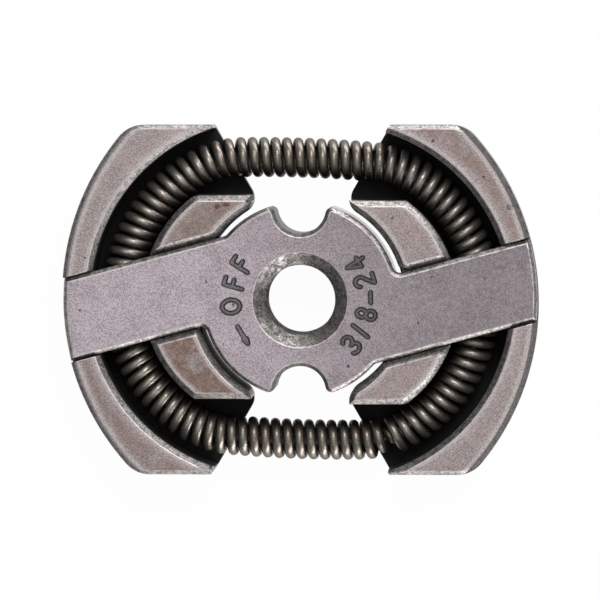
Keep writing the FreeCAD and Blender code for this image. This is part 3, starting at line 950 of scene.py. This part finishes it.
def ring_point(distance):
    """Point of the ring at a distance along it, in millimetres, and its outward direction."""
    rest = distance % RING_LENGTH
    for x, y, radius, start, sweep in ARCS:
        if rest <= radius * sweep:
            break
        rest -= radius * sweep
    angle = start + rest / radius
    tilt = Matrix.Rotation(SPRING_TILT, 3, "Z")
    outward = Vector((math.cos(angle), math.sin(angle), 0))
    return tilt @ (Vector((x, y, SPRING_LEVEL)) + outward * radius), tilt @ outward


print("ring length", RING_LENGTH, "mm")

# %% [markdown]
# The wire goes round that ring as a helix with whole turns. At the join, the last turns are narrow and
# screw into the first ones, which leaves the small gap that shows in the photograph. The Screw modifier
# makes helices too, but only round a straight axis, so each station of the wire is worked out here.

# %% Turns of the coil
# Sizes of the coil and of the narrow end that screws into it, in millimetres
COIL_RADIUS = 1.89
COIL_PITCH = 1.4
JOIN_ANGLE = math.radians(301)
JOIN_GAP = 0.7
NIB_TURNS = 2.5
NIB_RADIUS = 0.66
NIB_TAPER_TURNS = 0.5
START_TURN = 0.25
STATIONS_PER_TURN = 26
SEARCH_STEPS = 2000


def join_distance():
    """Distance along the ring at which the spring's ends meet."""
    def misfit(step):
        point, _ = ring_point(RING_LENGTH * step / SEARCH_STEPS)
        return abs((math.atan2(point.y, point.x) - JOIN_ANGLE + math.pi) % (2 * math.pi) - math.pi)

    return RING_LENGTH * min(range(SEARCH_STEPS), key=misfit) / SEARCH_STEPS


COIL_START = join_distance() + JOIN_GAP
TURNS = round((RING_LENGTH - JOIN_GAP) / COIL_PITCH)
TRUE_PITCH = (RING_LENGTH - JOIN_GAP) / TURNS


def wire_station(station):
    """Centre of the wire, its direction away from the coil's middle, and the ring point, in millimetres."""
    turn = station / STATIONS_PER_TURN
    ring, outward = ring_point(COIL_START + turn * TRUE_PITCH)
    thin = min(max((turn - TURNS) / NIB_TAPER_TURNS + 1, 0), 1)
    radius = COIL_RADIUS + (NIB_RADIUS - COIL_RADIUS) * thin
    angle = 2 * math.pi * (turn + START_TURN)
    spoke = outward * math.cos(angle) - Vector((0, 0, math.sin(angle)))
    return ring + spoke * radius, spoke, ring


print("spring of", TURNS, "turns, pitch", TRUE_PITCH, "mm")

# %% [markdown]
# The wire itself is a tube of rings set square to its run. A curve with a round bevel would do as well, but
# a mesh is easier to part. It is parted midway between the shoes into two halves.

# %% Spring wire
# Radius in millimetres
WIRE_RADIUS = 0.61
WIRE_SIDES = 12
WIRE_SHARP = math.radians(60)


def add_tube(points, faces, first, last):
    """Adds the tube between two stations to a list of points and faces."""
    base = len(points)
    for station in range(first, last + 1):
        centre, spoke, _ = wire_station(station)
        ahead = wire_station(station + 1)[0] - wire_station(station - 1)[0]
        across = ahead.normalized().cross(spoke).normalized()
        for side in range(WIRE_SIDES):
            angle = 2 * math.pi * side / WIRE_SIDES
            offset = spoke * math.cos(angle) + across * math.sin(angle)
            points.append((centre + offset * WIRE_RADIUS) * MM)
    rows = last - first
    for row in range(rows):
        for side in range(WIRE_SIDES):
            beside = (side + 1) % WIRE_SIDES
            low = base + row * WIRE_SIDES
            faces.append([low + side, low + WIRE_SIDES + side, low + WIRE_SIDES + beside, low + beside])
    faces.append([base + side for side in range(WIRE_SIDES)])
    faces.append([base + rows * WIRE_SIDES + side for side in range(WIRE_SIDES)][::-1])


def make_wire(name, runs):
    """One piece of the spring from its runs of stations."""
    points = []
    faces = []
    for first, last in runs:
        add_tube(points, faces, first, last)
    mesh = bpy.data.meshes.new(name)
    mesh.from_pydata(points, [], faces)
    mesh.shade_smooth()
    mesh.set_sharp_from_angle(angle=WIRE_SHARP)
    print(name, "has", len(faces), "faces")
    return add_object(name, mesh)


LAST_STATION = int((TURNS + NIB_TURNS) * STATIONS_PER_TURN)
on_right = [wire_station(station)[2].x > 0 for station in range(LAST_STATION + 1)]
leaves_right = on_right.index(False)
returns_right = on_right.index(True, leaves_right)
spring_right = make_wire("spring_right", [(0, leaves_right), (returns_right, LAST_STATION)])
spring_left = make_wire("spring_left", [(leaves_right, returns_right)])

# %% [markdown]
# Spring wire is drawn smooth, and this one is grey and brown in patches. It stays metal with a thin coat of
# oil, so its highlights come from the softboxes. Painted shade makes it black on the side towards the hub
# and between the turns. One dark colour all over would be simpler, but the crests of the turns stay paler,
# and painted light makes them paler still in the channels, so the way the surface faces decides.

# %% Wire finish
# Half of the free span that counts as straight, in millimetres
SPAN_HALF = 7.0
WIRE_GREY = srgb(129, 124, 115)
WIRE_BROWN = srgb(134, 120, 110)
# Paler wire colour, painted light in the shadowed channels
WIRE_PAINTED_LIGHT = srgb(172, 164, 154)
WIRE_FLECK = srgb(68, 62, 57)
# Black of painted shade on the wire
WIRE_SHADE_BLACK = srgb(26, 23, 21)
OIL_EDGE = srgb(120, 115, 110)
WIRE_METAL = 0.85
OIL_COAT = 0.35
OIL_COAT_ROUGHNESS = 0.12
WIRE_RELIEF = 0.02 * MM


def wire_with_painted_shade():
    """Drawn wire with brown patches, painted shade towards the hub and between the turns, painted light in
    the channels.
    """
    paint, shader, place, normal = new_finish("wire_with_painted_shade")
    patch = place.noise(0.55, 3.0, 0.6).rise(0.38, 0.66)
    fine = place.noise(5.0, 2.0, 0.6)
    across = place.part(0)
    past_right = fine.math("MAXIMUM", across - SPAN_HALF, 0.0)
    past_left = fine.math("MINIMUM", across + SPAN_HALF, 0.0)
    from_hub = {0: past_right + past_left, 1: place.part(1)}
    spoke = fine.node("ShaderNodeCombineXYZ", None, from_hub).vector("NORMALIZE")
    outward = normal.vector("DOT_PRODUCT", spoke, out="Value")
    # Painted shade: black on the side towards the hub and on the flanks between the turns
    hub_side_shade = outward.rise(-0.25, -0.8)
    between_turns_shade = (1 - normal.part(2) ** 2 - outward ** 2).rise(0.25, 0.8)
    colour = patch.mix(WIRE_GREY, WIRE_BROWN)
    # Painted light: paler wire in the shadowed channels
    colour = (abs(across).rise(9.0, 14.0) * 0.65).mix(colour, WIRE_PAINTED_LIGHT)
    colour = (fine.rise(0.48, 0.60) * 0.5).mix(colour, WIRE_FLECK)
    colour = fine.math("MAXIMUM", hub_side_shade * 0.85, between_turns_shade * 0.6).mix(colour, WIRE_SHADE_BLACK)
    bump = fine.node("ShaderNodeBump", None, {"Height": fine, "Strength": 0.25, "Distance": WIRE_RELIEF})
    shader.inputs["Metallic"].default_value = WIRE_METAL
    shader.inputs["Specular Tint"].default_value = OIL_EDGE
    shader.inputs["Coat Weight"].default_value = OIL_COAT
    shader.inputs["Coat Roughness"].default_value = OIL_COAT_ROUGHNESS
    connect(shader, Base_Color=colour, Roughness=0.30 + 0.22 * fine, Normal=bump)
    print("finish", paint.name, "with", len(paint.node_tree.nodes), "nodes")
    return paint


wire_finish = wire_with_painted_shade()

# %% [markdown]
# When a shoe slides out, the turns in its channel go with it, and the free span opens. Here both halves of
# the spring take the wire's finish and keep the shape they were made in, and the CAD spring is hidden.

for piece, shoe, side in ((spring_right, "right_shoe", 1), (spring_left, "left_shoe", -1)):
    piece.data.materials.append(wire_finish)
    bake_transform(piece)
    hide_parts("garter_spring")
